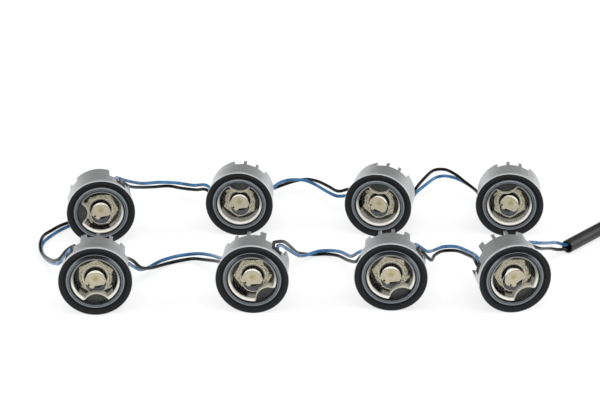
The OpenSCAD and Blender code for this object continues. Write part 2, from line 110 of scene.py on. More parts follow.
# Height over the floor, in metres, at which the painted light and shade in the lenses change over: below it the
# bowl gets a painted highlight and the collar painted shade
PAINTED_LIGHT_HEIGHT = 0.0155


def turn(degrees, axis):
    return Matrix.Rotation(math.radians(degrees), 4, axis)


def lamp_matrix(i):
    """Places a lamp's own frame: +Z out of its front, angle 0 at the bite in its lens."""
    x, y, heading, roll = LAMPS[i - 1]
    return Matrix.Translation((x, y, LIFT)) @ turn(heading, "Z") @ turn(90 - TILT, "X") @ turn(roll, "Z")


def slot_point(i, angle, side, back):
    """Point on one of the two wires in a lamp's slot, a distance behind the drum's floor."""
    return lamp_matrix(i) @ turn(angle, "Z") @ Vector((EXIT_R, side * WIRE_GAP / 2, DRUM_FLOOR_REAR - back))


def sleeve_point(along, side=0):
    """Point on the sleeve's axis, or on the wire to one side of it."""
    a = math.radians(SLEEVE_HEADING)
    return (
        SLEEVE_START
        + along * Vector((math.cos(a), math.sin(a), 0))
        + side * Vector((-WIRE_ASIDE * math.sin(a), WIRE_ASIDE * math.cos(a), WIRE_ABOVE))
    )


# Free part of each wire between two lamps, in the order of the chain, as points on the floor's axes
BLACK_ROUTES = [
    [(70, -20.5, 13.5), (67.5, -9.5, 9.8), (65.3, -3, 7.6), (62.8, 0.1, 6.3), (59.6, -0.1, 6.2),
     (57.2, -3.5, 7.2), (54.5, -10.5, 9.2), (52.3, -19.4, 11.9)],
    [(21, -22, 12.5), (18, -12, 7.8), (14, 0.5, 3.5), (9, 6.5, 1.2), (3.5, 6.5, 1), (-0.5, 5.8, 1.6),
     (-3.8, 1.5, 4.6), (-6.3, -7, 11.5), (-9.3, -19, 20.3)],
    [(-37.5, -17, 10), (-43.2, -6.5, 5.2), (-48.5, 0, 2.3), (-54, 0.5, 1.2), (-60, -2.5, 1.2),
     (-65.5, -12, 4.3), (-69.3, -19.5, 8.3), (-72.3, -23, 13.5)],
    [(-99.3, -25.5, 19.5), (-103, -21, 13.5), (-106.8, -14.3, 8.9), (-111, -5, 5.2), (-114.5, 3.5, 3),
     (-116.3, 10, 2.8), (-116.9, 16.5, 2.7), (-116.5, 23.5, 1.9), (-114, 29.5, 1.2), (-110.5, 35, 1),
     (-105, 39.5, 1), (-97, 43, 1), (-91.5, 43.5, 1.1), (-89.3, 39.5, 1.3)],
    [(-79.8, 43.7, 16.4), (-75.5, 53, 11.5), (-70, 62, 7.5), (-64, 65.5, 6.3), (-57.5, 62, 6.8),
     (-50.5, 55, 9.3), (-45.5, 49.5, 12)],
    [(-20, 51.5, 4), (-16.5, 65.5, 3.7), (-11, 70.5, 4.3), (-4.5, 72, 5.9), (1, 72.5, 6.5), (6, 69, 7),
     (10.5, 61.8, 8), (15, 53, 9.5), (20, 49, 12.5)],
    [(46.8, 48.5, 5.5), (51, 62, 6), (55.5, 69.5, 8), (60.5, 76.5, 9.2), (66, 77, 9.5), (70.5, 71.5, 9.5),
     (74, 64.5, 9.2), (77.5, 57.5, 9), (79.3, 50.5, 9.8)],
]
BLUE_ROUTES = [
    [(70, -21.5, 15.8), (67.2, -10, 12), (65, -3.5, 9.8), (62.4, -0.3, 8.5), (59.2, -0.6, 8.4),
     (56.6, -4.3, 9.5), (53.4, -12, 12.4), (50.2, -20.3, 16.6)],
    [(21.5, -20.9, 16), (19, -13.5, 10.6), (15, -1, 6.2), (10.5, 5.5, 3.4), (5.5, 6, 2.8), (0, 2, 3),
     (-3.2, -4, 6), (-7.3, -11, 12.3), (-10.2, -18, 18)],
    [(-36.5, -18.5, 12.5), (-40.2, -8.5, 8.4), (-45.8, 0.3, 4.6), (-51.5, 3.3, 2.6), (-57.5, 3, 1.6),
     (-63, -1, 1.6), (-67, -8.5, 2.8), (-70, -15.5, 5.2), (-72.5, -21.5, 10)],
    [(-100.3, -24.9, 16.3), (-103.3, -21, 11.3), (-106, -14, 7.2), (-110, -5, 3.5), (-114, 4.5, 1.1),
     (-116.2, 11.5, 1), (-116, 18.5, 1), (-113.5, 24.5, 1), (-110.3, 30, 1), (-106, 35, 1), (-101, 38.5, 1),
     (-95.8, 40.3, 1), (-92.2, 38, 1.2)],
    [(-80.8, 44.5, 18.8), (-75, 54.5, 12.8), (-68, 63, 9.4), (-60, 64, 8.6), (-52, 58, 10.2),
     (-45.5, 50.5, 13.8)],
    [(-17.5, 49.5, 6.5), (-14.5, 61.5, 7.8), (-9.5, 67, 8.3), (-4, 67.8, 8.5), (0.5, 66.5, 8.5),
     (5, 61.8, 8.5), (9.5, 55, 8.7), (14.5, 49.5, 8.7), (20, 48, 9.8)],
    [(46, 48.5, 3.5), (51.5, 62.5, 4), (57, 68, 6.3), (61.5, 72.5, 7.4), (66, 74.3, 7.4), (70.5, 72.7, 7.1),
     (74.5, 68.5, 6.8), (78, 62.5, 6.7), (80.2, 54.5, 7)],
]
# Side of the slot that the black wire takes where it leaves a lamp and where it arrives; blue takes the other
BLACK_SIDES = [(1, -1), (1, 1), (1, 1), (-1, 1), (-1, 1), (-1, -1), (1, -1)]
# Free part of each feed wire, from lamp 1 to the sleeve
BLACK_FEED = [(98.4, -18.5, 16.8), (105.2, -0.9, 7.8), (110.2, 6.1, 3.6)]
BLUE_FEED = [(97.5, -20, 20.2), (102.4, -9, 14.6), (107.8, 0.7, 9.8), (111.8, 7.9, 5.4)]

# Coil of the lead, in two layers on the floor
COIL_R, COIL_TURNS, COIL_PITCH, COIL_AWAY, COIL_GAP = 25.2, 3, 4.8, 24, 0.3
OUTER_TURN_R = COIL_R + (COIL_TURNS - 1) * COIL_PITCH / 2
COIL_REACH = SLEEVE_LEN + COIL_AWAY
COIL_MIDDLE = sleeve_point(COIL_REACH) + OUTER_TURN_R * Vector(
    (math.sin(math.radians(SLEEVE_HEADING)), -math.cos(math.radians(SLEEVE_HEADING)), 0))

# Plug beside the coil, and the last points of the lead: x and z from the plug, y from the coil's middle
PLUG_D, PLUG_AWAY, TAIL_LEN = 12, 1, 24
PLUG_X = COIL_MIDDLE.x + COIL_R + COIL_TURNS * COIL_PITCH / 2 + COIL_GAP + PLUG_D / 2 + PLUG_AWAY
TAIL = [(-4.4, -0.5, 0.9), (-2.7, -4, 0.8), (-0.8, -10, 0.5), (-0.1, -16, 0.2),
        (0, 4 - TAIL_LEN, 0), (0, -TAIL_LEN, 0)]

# Least number of steps along a wire's smooth part, steps between two points of the tail, and steps in a turn
SPAN_STEPS, TAIL_STEPS, TURN_STEPS = 34, 4, 48


def blend(a, b, c, d, t):
    """Point a share t of the way from b to c, on the smooth curve through a, b, c and d."""
    return 0.5 * (2 * b + (c - a) * t + (2 * a - 5 * b + 4 * c - d) * t * t + (3 * b - a - 3 * c + d) * t ** 3)


def smooth(route, steps):
    """Smooth curve through a route, with its first and last stretches straight."""
    p = [Vector(q) for q in route]
    inner = [blend(*p[k - 1:k + 3], s / steps) for k in range(1, len(p) - 2) for s in range(steps)]
    return [p[0], *inner, p[-2], p[-1]]


def route_length(points):
    return sum((b - a).length for a, b in zip(points, points[1:]))


def cord(name, points, diameter, material):
    """Round cord along points, on one open smooth spline whose points carry its radius."""
    data = bpy.data.curves.new(name, "CURVE")
    data.dimensions = "3D"
    data.bevel_depth = 1
    data.bevel_resolution = 4
    data.use_fill_caps = True
    spline = data.splines.new("POLY")
    spline.points.add(len(points) - 1)
    for knot, p in zip(spline.points, points):
        knot.co = (*(p * MM), 1)
        knot.radius = diameter * MM / 2
    spline.use_smooth = True
    piece = bpy.data.objects.new(name, data)
    bpy.context.scene.collection.objects.link(piece)
    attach(piece, "root")
    piece.data.materials.append(material)
    return piece


def lay_wire(name, node, route, material):
    """One insulated wire, which stands for a wire among the solids."""
    points = smooth(route, max(2, math.ceil(SPAN_STEPS / (len(route) - 3))))
    piece = cord(name, points, WIRE_D, material)
    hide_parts(node)
    points[0] * MM
    round(route_length(points) * MM, 3)


def coil_points():
    """The lead's turns: inward on the floor, up onto them, and outward again."""
    # The lead comes down to the floor in the first part of a turn, and changes ring in the last part of each
    settle_part, change_part = 0.15, 0.2
    floor_gap, layer_rise = 0.1, COIL_PITCH - 0.05
    start, leave = math.radians(SLEEVE_HEADING + 90), math.radians(26)
    full_turn = 2 * math.pi
    total = 2 * COIL_TURNS * full_turn
    extra = (start - total - leave) % full_turn
    points = []
    for k in range(int((total + extra) / full_turn * TURN_STEPS) + 1):
        whole, part = divmod(k / TURN_STEPS, 1)
        change = min(1, max(0, (part - 1 + change_part) / change_part))
        change = change * change * (3 - 2 * change)
        if whole < COIL_TURNS:
            ring = min(whole + change, COIL_TURNS - 1)
            level = change if whole == COIL_TURNS - 1 else 0
        else:
            ring = COIL_TURNS - 1 - min(whole - COIL_TURNS + change, COIL_TURNS - 1)
            level = 1
        radius = OUTER_TURN_R - ring * COIL_PITCH
        drop = SLEEVE_START.z - LEAD_D / 2 - floor_gap
        z = SLEEVE_START.z - drop * min(1, k / TURN_STEPS / settle_part) + level * layer_rise
        a = start - full_turn * k / TURN_STEPS
        points.append(COIL_MIDDLE.xy.to_3d() + Vector((radius * math.cos(a), radius * math.sin(a), z)))
    return points


def lead_points():
    """The lead's whole way, from inside the sleeve through its coil to the plug."""
    step, stop_short = 4, 2
    run_in = [sleeve_point(SLEEVE_IN + s) for s in range(0, COIL_REACH - SLEEVE_IN - stop_short, step)]
    turns = coil_points()
    tail = [(PLUG_X + x, COIL_MIDDLE.y + y, PLUG_D / 2 + z) for x, y, z in TAIL]
    return run_in + turns[:-1] + smooth([turns[-2], turns[-1], *tail], TAIL_STEPS)[1:]


# Shader maths
class Signal:
    """A shader value that Python's operators work on, each through one Math node."""

    def __init__(self, finish, socket):
        self.finish, self.socket = finish, socket

    def math(self, operation, *others):
        inputs = dict(enumerate((self, *others)))
        return self.finish.node("ShaderNodeMath", {"operation": operation}, inputs)

    def __add__(self, other):
        return self.math("ADD", other)

    __radd__ = __add__

    def __mul__(self, other):
        return self.math("MULTIPLY", other)

    __rmul__ = __mul__

    def __sub__(self, other):
        return self.math("SUBTRACT", other)

    def __rsub__(self, other):
        return self.finish.node("ShaderNodeMath", {"operation": "SUBTRACT"}, {0: other, 1: self})

    def __abs__(self):
        return self.math("ABSOLUTE")

    def above(self, edge, soft):
        """0 below edge, 1 above it, over a band that is soft wide."""
        settings = {"interpolation_type": "SMOOTHSTEP"}
        inputs = {"Value": self, "From Min": edge - soft / 2, "From Max": edge + soft / 2}
        return self.finish.node("ShaderNodeMapRange", settings, inputs)

    def below(self, edge, soft):
        return 1 - self.above(edge, soft)

    def between(self, low, high, soft):
        return self.above(low, soft) * self.below(high, soft)


class Finish:
    """One material, or the sky, built node by node."""

    def __init__(self, name, owner=None):
        self.material = owner or bpy.data.materials.new(name)
        self.material.use_nodes = True
        self.tree = self.material.node_tree
        self.tree.nodes.clear()

    def node(self, kind, settings=None, inputs=None, out=0):
        """Adds a node with its settings and the values or links of its sockets, and gives one output."""
        made = self.tree.nodes.new(kind)
        for key, value in (settings or {}).items():
            setattr(made, key, value)
        for key, value in (inputs or {}).items():
            if isinstance(value, Signal):
                self.tree.links.new(value.socket, made.inputs[key])
            else:
                made.inputs[key].default_value = value
        return Signal(self, made.outputs[out]) if made.outputs else None

    def place(self):
        """Object coordinates, in metres."""
        return self.node("ShaderNodeTexCoord", out="Object")

    def lamp_place(self, i):
        """Object coordinates in a lamp's own frame."""
        matrix = lamp_matrix(i)
        inputs = {"Vector": self.place(), "Location": matrix.to_translation() * MM,
                  "Rotation": matrix.to_euler("XYZ"), "Scale": (MM, MM, MM)}
        return self.node("ShaderNodeMapping", {"vector_type": "TEXTURE"}, inputs)

    def kept_place(self):
        """The lamp's own coordinates, kept in the mesh."""
        return self.node("ShaderNodeAttribute", {"attribute_name": "lamp_mm"}, out="Vector")

    def axes(self, vector):
        split = self.node("ShaderNodeSeparateXYZ", None, {0: vector}).socket.node
        return [Signal(self, output) for output in split.outputs]

    def height(self):
        """Height over the floor, in metres."""
        return self.axes(self.place())[2]

    def polar(self, vector):
        """Distance from the lamp's axis, angle from the bite in radians, and height along the axis."""
        x, y, z = self.axes(vector)
        return (x * x + y * y).math("SQRT"), y.math("ARCTAN2", x), z

    def noise(self, vector, scale, detail, rough=0.5):
        inputs = {"Vector": vector, "Scale": scale, "Detail": detail, "Roughness": rough}
        return self.node("ShaderNodeTexNoise", None, inputs)

    def mix(self, amount, a, b):
        """Colour a, or b where amount is 1; either may be a code such as #3c3f42."""
        a, b = (shade(c) if isinstance(c, str) else c for c in (a, b))
        return self.node("ShaderNodeMix", {"data_type": "RGBA"}, {0: amount, 6: a, 7: b}, out=2)

    def bump(self, height, depth, strength=1.0):
        """Relief from a height map, with its depth in millimetres."""
        inputs = {"Height": height, "Distance": depth * MM, "Strength": strength}
        return self.node("ShaderNodeBump", None, inputs)

    def surface(self, **sockets):
        inputs = {key.replace("_", " ").title().replace("Ior", "IOR"): v for key, v in sockets.items()}
        return self.node("ShaderNodeBsdfPrincipled", None, inputs)

    def painted_glow_surface(self, tone, glow, **sockets):
        """A surface inside the optics that glows a little in its own tone: painted light, brighter than the
        light that reaches it.
        """
        return self.surface(base_color=tone, emission_color=tone, emission_strength=glow, **sockets)

    def done(self, shader, kind="ShaderNodeOutputMaterial"):
        self.node(kind, None, {0: shader})
        return self.material


def shade(code):
    """An sRGB code such as #3c3f42 as a linear colour."""
    parts = [int(code[k:k + 2], 16) / 255 for k in (1, 3, 5)]
    return (*[c / 12.92 if c <= 0.04045 else ((c + 0.055) / 1.055) ** 2.4 for c in parts], 1.0)


def insulation(name, dark, light, roughness, gloss):
    """Smooth plastic of a wire or a jacket, with slight scuffs."""
    f = Finish(name)
    where = f.place()
    patches = f.noise(where, scale=260, detail=3)
    scuffs = f.noise(where, scale=2400, detail=2).above(0.62, soft=0.16)
    return f.done(f.surface(
        base_color=f.mix(patches.above(0.5, soft=0.5), dark, light),
        roughness=roughness + 0.12 * patches + 0.1 * scuffs, specular_ior_level=gloss,
        normal=f.bump(patches, depth=0.06)))


def rubber(name, dark="#141414", light="#242525", grain=3200):
    """Matte rubber with a fine grain."""
    f = Finish(name)
    fine = f.noise(f.place(), scale=grain, detail=3, rough=0.6)
    return f.done(f.surface(
        base_color=f.mix(fine, dark, light), roughness=0.62 + 0.2 * fine, normal=f.bump(fine, depth=0.08)))


def plain(name, dark, light, roughness, grain=1500, metallic=0.0):
    """Finish with nothing but a fine grain in its tone, gloss and relief."""
    f = Finish(name)
    fine = f.noise(f.place(), scale=grain, detail=3, rough=0.6)
    return f.done(f.surface(
        base_color=f.mix(fine, dark, light), metallic=metallic, roughness=roughness + 0.12 * fine,
        normal=f.bump(fine, depth=0.05)))


def cast_metal(i):
    """Silver-grey die-casting with a fine grain, faint clouds and a dark band behind the ring: painted shade of
    the gap there, with the gasket's dark line.
    """
    gasket_and_shade_z = -2.25
    f = Finish(f"cast_metal_{i}")
    where = f.place()
    gasket_and_shade = f.axes(f.lamp_place(i))[2].above(gasket_and_shade_z, soft=0.2)
    grain = f.noise(where, scale=2600, detail=4, rough=0.65)
    cloud = f.noise(where, scale=90, detail=2)
    speck = f.noise(where, scale=4200, detail=1).above(0.66, soft=0.1)
    tone = f.mix(grain.above(0.5, soft=0.5), "#b9bcbc", "#d6d8d8")
    tone = f.mix(cloud.above(0.52, soft=0.4) * 0.35, tone, "#a8adae")
    tone = f.mix(speck * 0.6, tone, "#868a8c")
    # Dark band behind the ring: painted shade of the gap, together with the gasket's dark line
    tone = f.mix(gasket_and_shade, tone, "#26282a")
    return f.done(f.surface(
        base_color=tone, metallic=0.88 - 0.6 * gasket_and_shade, roughness=0.24 + 0.14 * grain + 0.2 * gasket_and_shade,
        normal=f.bump(grain, depth=0.2, strength=0.8)))


def ring_finish(i):
    """Dark grey coating: a matte face, a black slope with fine ticks, and a bright thin side that is a painted
    highlight.
    """
    slope_r, lip_r, side_r = 12.85, 11.85, 14.8
    front_z, back_z = -0.03, -1.36
    tick_inner_r, tick_outer_r, tick_waves = 11.75, 12.45, 110
    f = Finish(f"ring_{i}")
    radius, around, z = f.polar(f.lamp_place(i))
    grain = f.noise(f.place(), scale=3000, detail=3, rough=0.6)
    waves = (around * tick_waves).math("SINE")
    ticks = waves.above(0.1, soft=0.9) * radius.between(tick_inner_r, tick_outer_r, soft=0.2)
    side = radius.above(side_r, soft=0.1) * z.below(front_z, soft=0.06)
    back = z.below(back_z, soft=0.06)
    tone = f.mix(grain.above(0.5, soft=0.6), "#151719", "#242628")
    tone = f.mix(radius.below(slope_r, soft=0.15), tone, "#050506")
    tone = f.mix(ticks * 0.6, tone, "#26272a")
    tone = f.mix(radius.below(lip_r, soft=0.12), tone, "#8b949c")
    # Painted highlight on the ring's thin side
    tone = f.mix(side, tone, "#d5d8d9")
    tone = f.mix(back, tone, "#0a0a0b")
    return f.done(f.surface(
        base_color=tone, metallic=0.5 * side * (1 - back), roughness=0.5 + 0.16 * grain - 0.2 * side,
        specular_ior_level=0.2, normal=f.bump(grain * 0.5 + ticks, depth=0.06)))


def window_finish():
    """Clear polycarbonate in the middle, nearly invisible, and a frosted slate band around it, which painted
    shade turns black at the top of the front row.
    """
    clear_r, inner_line_r, groove_r, pale_r, outer_line_r = 10.22, 10.5, 11.15, 11.36, 11.7
    # Where the front row's band turns black with painted shade: above a height over the floor, in metres
    shade_height, tick_waves = 0.0243, 90
    f = Finish("clear_window")
    where = f.kept_place()
    radius, around, _ = f.polar(where)
    haze = f.noise(where, scale=0.7, detail=2)
    gloss = f.node("ShaderNodeBsdfGlossy", None, {"Color": shade("#ffffff"), "Roughness": 0.06 + 0.04 * haze})
    clear = f.node("ShaderNodeBsdfTransparent", None, {0: shade("#fcfbf8")})
    slant = f.node("ShaderNodeFresnel", None, {"IOR": 1.5})
    pane = f.node("ShaderNodeMixShader", None, {0: slant * 0.14, 1: clear, 2: gloss})
    tone = f.mix(haze, "#50555a", "#747a7f")
    tone = f.mix(radius.below(inner_line_r, soft=0.15), tone, "#1b1e22")
    tone = f.mix(radius.between(groove_r, pale_r, soft=0.1) * 0.6, tone, "#23272b")
    tone = f.mix(radius.above(pale_r, soft=0.08), tone, "#9ba2a7")
    tone = f.mix(radius.above(outer_line_r, soft=0.1), tone, "#2a2e31")
    _, along, height = f.axes(f.place())
    ticks = (around * tick_waves).math("SINE").above(0.2, soft=0.9)
    # Painted shade: the front row's band is black, with faint ticks, at its top
    top = along.below(0, soft=0.01) * height.above(shade_height, soft=0.003)
    tone = f.mix(top, tone, f.mix(ticks * 0.5, "#060607", "#3a3d42"))
    band = f.surface(base_color=tone, roughness=0.3 + 0.1 * haze, specular_ior_level=0.15)
    return f.done(f.node("ShaderNodeMixShader", None, {0: radius.above(clear_r, soft=0.1), 1: pane, 2: band}))


def bowl_finish():
    """Silvered collimator: a rim whose lower half is white with a painted highlight, pale slopes made lighter
    on their lower half by painted light, and a floor with dark patches; it also glows a little as painted
    light.
    """
    rim_z, patch_z, floor_z = -1.5, -2.2, -4.7
    patch_from, patch_to = 0.9, 2.0
    outer_groove, inner_groove = (8.75, 8.88), (8.5, 8.6)
    f = Finish("silvered_bowl")
    where = f.kept_place()
    radius, around, z = f.polar(where)
    # The lower half of each lens, by height over the floor, gets painted light: lighter slopes and a white rim
    low = f.height().below(PAINTED_LIGHT_HEIGHT, soft=0.007)
    cloud = f.noise(where, scale=0.9, detail=3)
    streak = f.noise(where, scale=2.2, detail=2).above(0.52, soft=0.3)
    patch = abs(around).between(patch_from, patch_to, soft=0.15) * z.below(patch_z, soft=0.5)
    grooves = radius.between(*outer_groove, soft=0.08) + radius.between(*inner_groove, soft=0.08)
    tone = f.mix(low, "#85867f", "#c9cac9")
    tone = f.mix(streak * 0.75, tone, "#77756a")
    tone = f.mix(grooves * 0.6, tone, "#3b3b37")
    tone = f.mix(z.below(floor_z, soft=0.3), tone, "#2a2924")
    tone = f.mix(patch, tone, "#030303")
    # Painted highlight: the rim is white on its lower half
    tone = f.mix(z.above(rim_z, soft=0.3), tone, f.mix(low, "#8a9094", "#f8f9fa"))
    tone = f.mix(radius.above(OPTIC_R - 0.1, soft=0.06), tone, "#2f3337")
    return f.done(f.painted_glow_surface(
        tone, 0.14, roughness=0.2 + 0.1 * cloud, specular_ior_level=0.3, normal=f.bump(cloud, depth=0.05)))


def well_finish():
    """Black well with a thin pale lip."""
    lip_z = -4.36
    f = Finish("dark_well")
    where = f.kept_place()
    cloud = f.noise(where, scale=1.3, detail=3)
    tone = f.mix(cloud, "#030303", "#0b0b0c")
    tone = f.mix(f.axes(where)[2].above(lip_z, soft=0.04), tone, "#a9a99f")
    return f.done(f.surface(base_color=tone, roughness=0.3 + 0.12 * cloud, specular_ior_level=0.1))


def pocket_finish():
    """Slate dish, black in its upper part as a painted shadow of the plate, with a pale rim as a painted
    highlight; it glows a little as painted light.
    """
    rim_z = -3.98
    shade_height = 0.0115  # over the floor, in metres
    f = Finish("slate_pocket")
    where = f.kept_place()
    cloud = f.noise(where, scale=1.3, detail=3)
    tone = f.mix(cloud, "#2c313a", "#6a717c")
    # Painted shadow of the plate: the dish is black above a height over the floor
    tone = f.mix(f.height().above(shade_height, soft=0.0009), tone, "#050506")
    # Painted highlight: the pale rim
    tone = f.mix(f.axes(where)[2].above(rim_z, soft=0.04), tone, "#d6d5cb")
    return f.done(f.painted_glow_surface(
        tone, 0.25, roughness=0.16 + 0.12 * cloud, specular_ior_level=0.25, normal=f.bump(cloud, depth=0.05)))


def collar_finish():
    """White upper half with a glow, as a painted highlight, and a black lower half as painted shade under the
    plate, as the lens shows it.
    """
    f = Finish("collar_painted_light")
    cloud = f.noise(f.kept_place(), scale=1.2, detail=2)
    tone = f.mix(cloud, "#e6e6e2", "#fafaf6")
    # Painted shade under the plate: the lower half is black
    tone = f.mix(f.height().below(PAINTED_LIGHT_HEIGHT, soft=0.002), tone, "#030303")
    # The glow brightens the white into a painted highlight
    return f.done(f.painted_glow_surface(tone, 0.5, roughness=0.2 + 0.1 * cloud, specular_ior_level=0.2))


def board_finish():
    """Cream face with olive blotches, a pale line around the well and black where the lens shows its edge; it
    glows a little as painted light.
    """
    line_r, line_mid_r, line_outer_r = 5.25, 5.5, 5.68
    edge_from, edge_to, edge_r = 1.0, 1.85, 7.5
    f = Finish("cream_board")
    where = f.kept_place()
    radius, around, z = f.polar(where)
    cloud = f.noise(where, scale=1.1, detail=3)
    blots = f.noise(where, scale=1.7, detail=3).above(0.56, soft=0.12)
    edge = abs(around).between(edge_from, edge_to, soft=0.12) * (radius + 1.6 * cloud).above(edge_r, soft=0.15)
    tone = f.mix(cloud, "#a7a28c", "#e6e2d3")
    tone = f.mix(blots * 0.7, tone, "#6d694f")
    tone = f.mix(radius.between(line_r, line_mid_r, soft=0.1), tone, "#f6f4ea")
    tone = f.mix(radius.between(line_mid_r, line_outer_r, soft=0.1) * 0.7, tone, "#4c4a3f")
    tone = f.mix(edge, tone, "#050505")
    tone = f.mix(z.below(BOARD_TOP - 0.05, soft=0.06), tone, "#2b2923")
    return f.done(f.painted_glow_surface(
        tone, 0.16, roughness=0.42 + 0.1 * cloud, specular_ior_level=0.3, normal=f.bump(cloud, depth=0.04)))


def plate_finish():
    """Cream emitter plate with a yellow-olive patch in its upper middle; it glows a little as painted light."""
    spot_up, spot_r, side_z = 0.9, 1.1, -1.2
    f = Finish("emitter_plate")
    where = f.kept_place()
    x, y, z = f.axes(where)
    from_spot = ((x + spot_up) * (x + spot_up) + y * y).math("SQRT")
    cloud = f.noise(where, scale=1.6, detail=4)
    fine = f.noise(where, scale=3.4, detail=3).above(0.55, soft=0.3)
    tone = f.mix(cloud, "#9f9a86", "#e4dfd2")
    tone = f.mix(fine * 0.45, tone, "#8f8768")
    tone = f.mix(from_spot.below(spot_r, soft=1.4) * 0.7, tone, "#99904a")
    tone = f.mix(z.below(side_z, soft=0.08), tone, "#57523f")
    return f.done(f.painted_glow_surface(
        tone, 0.12, roughness=0.35, specular_ior_level=0.3, normal=f.bump(cloud, depth=0.04)))


def sleeve_finish():
    """Shrunk black sleeve with long soft wrinkles."""
    wrinkle_len, wrinkle_w = 20, 2
    f = Finish("shrunk_sleeve")
    inputs = {"Vector": f.place(), "Rotation": (0, 0, math.radians(SLEEVE_HEADING)),
              "Scale": Vector((wrinkle_len, wrinkle_w, wrinkle_w)) * MM}
    along = f.node("ShaderNodeMapping", {"vector_type": "TEXTURE"}, inputs)
    wrinkles = f.noise(along, scale=1.0, detail=3)
    return f.done(f.surface(
        base_color=f.mix(wrinkles, "#161617", "#2c2d2e"), roughness=0.34 + 0.2 * wrinkles,
        normal=f.bump(wrinkles, depth=0.3)))


# Cords
black_insulation = insulation("black_insulation", "#020202", "#08090a", roughness=0.14, gloss=0.22)
blue_insulation = insulation("blue_insulation", "#1c4d78", "#3f7dae", roughness=0.14, gloss=0.4)
lead_jacket = insulation("lead_jacket", "#0c0c0d", "#181919", roughness=0.36, gloss=0.35)

for i in LAMP_NUMBERS[:-1]:
    for colour, routes, sign, material in (
            ("black", BLACK_ROUTES, 1, black_insulation), ("blue", BLUE_ROUTES, -1, blue_insulation)):
        leaving, arriving = (sign * side for side in BLACK_SIDES[i - 1])
        route = [
            slot_point(i, NEXT_SLOT, leaving, 0), slot_point(i, NEXT_SLOT, leaving, WIRE_STRAIGHT),
            *routes[i - 1],
            slot_point(i + 1, LEAD_SLOT, arriving, WIRE_STRAIGHT), slot_point(i + 1, LEAD_SLOT, arriving, 0)]
        lay_wire(f"{colour}_span_{i}", f"{colour}_wire_{i}_{i + 1}", route, material)
for colour, feed, side, material in (
        ("black", BLACK_FEED, -1, black_insulation), ("blue", BLUE_FEED, 1, blue_insulation)):
    route = [slot_point(1, LEAD_SLOT, side, 0), slot_point(1, LEAD_SLOT, side, WIRE_STRAIGHT), *feed,
             sleeve_point(0, side), sleeve_point(SLEEVE_IN, side)]
    lay_wire(f"{colour}_feed", f"{colour}_feed_wire", route, material)

lead_line = lead_points()
lead = cord("feed_lead", lead_line, LEAD_D, lead_jacket)
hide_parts("lead_cable", "lead_coil")
lead_line[0] * MM
round(route_length(lead_line) * MM, 3)


# Modelling, as by hand
def deselect():
    if bpy.context.object and bpy.context.object.mode != "OBJECT":
        bpy.ops.object.mode_set(mode="OBJECT")
    for piece in bpy.context.scene.objects:
        piece.select_set(False)


def only(piece):
    """Selects one piece alone and makes it the active one."""
    deselect()
    piece.select_set(True)
    bpy.context.view_layer.objects.active = piece


def finish_mesh(piece, angle=35):
    """Merges doubles, turns the faces outwards and smooths the edges that are flatter than an angle."""
    only(piece)
    bpy.ops.object.transform_apply(location=True, rotation=True, scale=True)
    bpy.ops.object.mode_set(mode="EDIT")
    bpy.ops.mesh.select_all(action="SELECT")
    bpy.ops.mesh.remove_doubles(threshold=1e-7)
    bpy.ops.mesh.normals_make_consistent(inside=False)
    bpy.ops.object.mode_set(mode="OBJECT")
    bpy.ops.object.shade_smooth_by_angle(angle=math.radians(angle))
    return piece


def join_ends(piece, steps):
    """Bridges the first and the last ring of a turned piece in edit mode."""
    bpy.ops.object.mode_set(mode="OBJECT")
    mesh = piece.data
    count = len(mesh.vertices)
    ends = set(range(steps)) | set(range(count - steps, count))
    for vertex in mesh.vertices:
        vertex.select = vertex.index in ends
    for edge in mesh.edges:
        edge.select = all(k in ends for k in edge.vertices)
    for face in mesh.polygons:
        face.select = False
    bpy.ops.object.mode_set(mode="EDIT")
    bpy.ops.mesh.select_mode(type="EDGE")
    bpy.ops.mesh.bridge_edge_loops()
    bpy.ops.mesh.select_mode(type="VERT")


def turned(name, profile, steps=96, closed=False):
    """Solid of revolution about Z: a circle, extruded and resized ring by ring.

    A closed profile is joined back to its start, and an open one starts and ends in a flat face."""
    deselect()
    radius, level = profile[0]
    bpy.ops.mesh.primitive_circle_add(vertices=steps, radius=radius * MM, location=(0, 0, level * MM))
    piece = bpy.context.object
    piece.name = name
    bpy.ops.object.mode_set(mode="EDIT")
    bpy.ops.mesh.select_all(action="SELECT")
    if not closed:
        bpy.ops.mesh.edge_face_add()
    for next_radius, next_level in profile[1:]:
        bpy.ops.mesh.extrude_region_move(
            TRANSFORM_OT_translate={"value": (0, 0, (next_level - level) * MM)})
        grow = next_radius / radius
        bpy.ops.transform.resize(value=(grow, grow, 1), center_override=(0, 0, next_level * MM))
        radius, level = next_radius, next_level
    if closed:
        join_ends(piece, steps)
    bpy.ops.object.mode_set(mode="OBJECT")
    return finish_mesh(piece)


def shift(piece, x, y=0):
    piece.data.transform(Matrix.Translation((x * MM, y * MM, 0)))
    return piece


def apply_modifier(piece, kind, **settings):
    only(piece)
    made = piece.modifiers.new(kind.lower(), kind)
    for key, value in settings.items():
        setattr(made, key, value)
    bpy.ops.object.modifier_apply(modifier=made.name)


def cut_by(piece, tool, operation="DIFFERENCE"):
    apply_modifier(piece, "BOOLEAN", operation=operation, object=tool, solver="EXACT")
    bpy.data.objects.remove(tool)
    return piece


def round_bar(radius, bottom, top, middle=(0, 0), steps=96):
    """A straight round bar, used to cut a hole or to start a piece."""
    return shift(turned("bar", [(radius, bottom), (radius, top)], steps), *middle)


def bite_bar(bottom, gap=0.0):
    """The bar that cuts the bite into a piece, with room for the bite's own wall and a gap."""
    return round_bar(BITE_R + STRIP_T + gap, bottom, 0, (BITE_X, 0))


def softened(piece, width):
    """Rounds the sharp edges."""
    sharp = 40
    apply_modifier(piece, "BEVEL", width=width * MM, segments=2, limit_method="ANGLE",
                   angle_limit=math.radians(sharp))
    return finish_mesh(piece, sharp)


